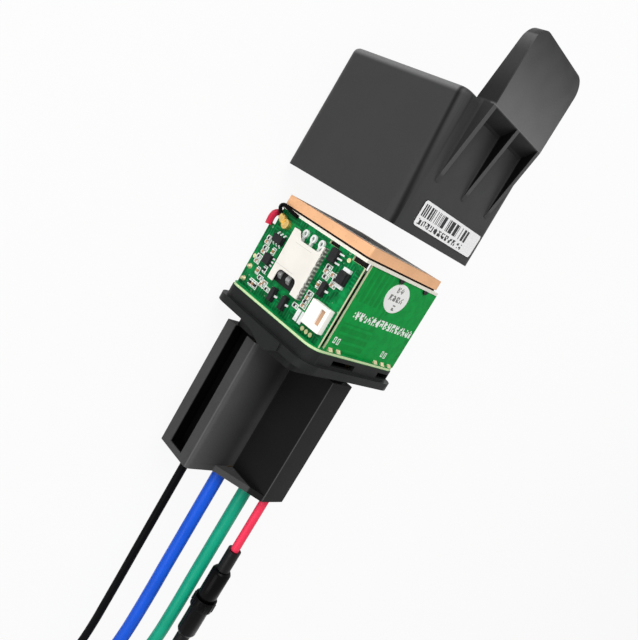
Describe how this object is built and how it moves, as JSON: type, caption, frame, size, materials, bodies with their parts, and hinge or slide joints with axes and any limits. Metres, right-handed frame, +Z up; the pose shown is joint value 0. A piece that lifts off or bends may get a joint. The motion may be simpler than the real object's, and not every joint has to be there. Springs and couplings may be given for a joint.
{
  "type": "gps tracker",
  "caption": "Relay-shaped vehicle tracker: square plug-in module with its tabbed cap drawn off, seated in a wired socket with an in-line fuse holder.",
  "frame": {"origin": "middle of the lying object's footprint, on the surface it lies on, measured without the free wires", "axes": "+X along the module from its cap towards the socket and wires, +Z up out of the face that carries the mounting tab and label"},
  "size_m": [0.246, 0.0308, 0.0327],
  "materials": {
    "housing": "fine moulded texture, satin",
    "base_plastic": "moulded, satin",
    "socket_plastic": "moulded, satin",
    "label": "white coated paper",
    "tinned": "bright tin",
    "silvering": "satin fired silver",
    "board_green": "glossy green solder mask over glass laminate",
    "board_dark_green": "glossy green solder mask over glass laminate",
    "board_white": "pale laminate",
    "adhesive_pad": "matt foam",
    "ceramic": "unglazed tan ceramic",
    "steel_sheet": "bright rolled sheet",
    "black_plastic": "moulded",
    "gold": "gold flash",
    "brass": "stamped brass",
    "cable_black": "satin jacket",
    "cable_red": "satin jacket",
    "wire_black": "satin insulation",
    "wire_blue": "satin insulation",
    "wire_green": "satin insulation",
    "wire_red": "satin insulation",
    "copper_tinned": "tinned strands",
    "pouch_foil": "laminate foil",
    "shield_can": "tinned steel",
    "ferrite": "dark ferrite",
    "can_aluminium": "drawn can",
    "white_plastic": "moulded nylon",
    "chip_black": "glazed",
    "chip_ceramic": "fired ceramic",
    "epoxy_black": "moulded epoxy",
    "holder_black": "moulded, semi-gloss",
    "sleeve_rubber": "soft sleeve",
    "fuse_glass": "clear"
  },
  "bodies": {
    "module": {"base_plate": "base_plastic", "blade_terminals": "tinned", "base_board": "board_green", "main_board": "board_green", "power_board": "board_dark_green", "antenna_board": "board_white", "antenna_pad": "adhesive_pad", "patch_antenna": "ceramic", "patch_silver": "silvering", "feed_pin": "tinned", "sim_shell": "steel_sheet", "sim_tray": "black_plastic", "sim_contacts": "gold", "rf_plug": "gold", "rf_cable": "cable_black", "battery_pouch": "pouch_foil", "battery_lead_red": "cable_red", "battery_lead_black": "cable_black", "modem_shield": "shield_can", "cutoff_relay": "black_plastic", "relay_pins": "tinned", "power_inductor": "ferrite", "filter_capacitors": "can_aluminium", "header_shell": "white_plastic", "header_pins": "gold", "chip_resistors": "chip_black", "chip_capacitors": "chip_ceramic", "chip_ends": "tinned", "transistor_bodies": "epoxy_black", "transistor_leads": "tinned", "logic_chips": "epoxy_black", "logic_leads": "tinned", "power_diode": "epoxy_black", "diode_ends": "tinned", "tinned_pads": "tinned", "gold_pads": "gold", "edge_solder": "tinned", "round_sticker": "label", "corner_foam": "adhesive_pad", "edge_clips": "black_plastic"},
    "cap": {"cap_shell": "housing", "id_label": "label"},
    "socket": {"socket_body": "socket_plastic", "socket_terminals": "brass", "wire_black": "wire_black", "wire_blue": "wire_blue", "wire_green": "wire_green", "wire_red_feed": "wire_red", "wire_red_tail": "wire_red", "wire_tips": "copper_tinned", "fuse_body": "holder_black", "fuse_sleeves": "sleeve_rubber", "fuse_link": "fuse_glass", "fuse_contacts": "tinned"},
    "fuse_grip": {"fuse_cap": "holder_black"}
  },
  "joints": [
    {"name": "cap_lift", "type": "slide", "parent": "module", "child": "cap", "axis": [-1, 0, 0], "range_m": [-0.0286, 0.012]},
    {"name": "socket_unplug", "type": "slide", "parent": "module", "child": "socket", "axis": [1, 0, 0], "range_m": [0, 0.014]},
    {"name": "fuse_twist", "type": "hinge", "parent": "socket", "child": "fuse_grip", "pos_m": [0.0787, 0.0051, 0.0237], "axis": [1, 0, 0], "range_deg": [0, 60]}
  ]
}
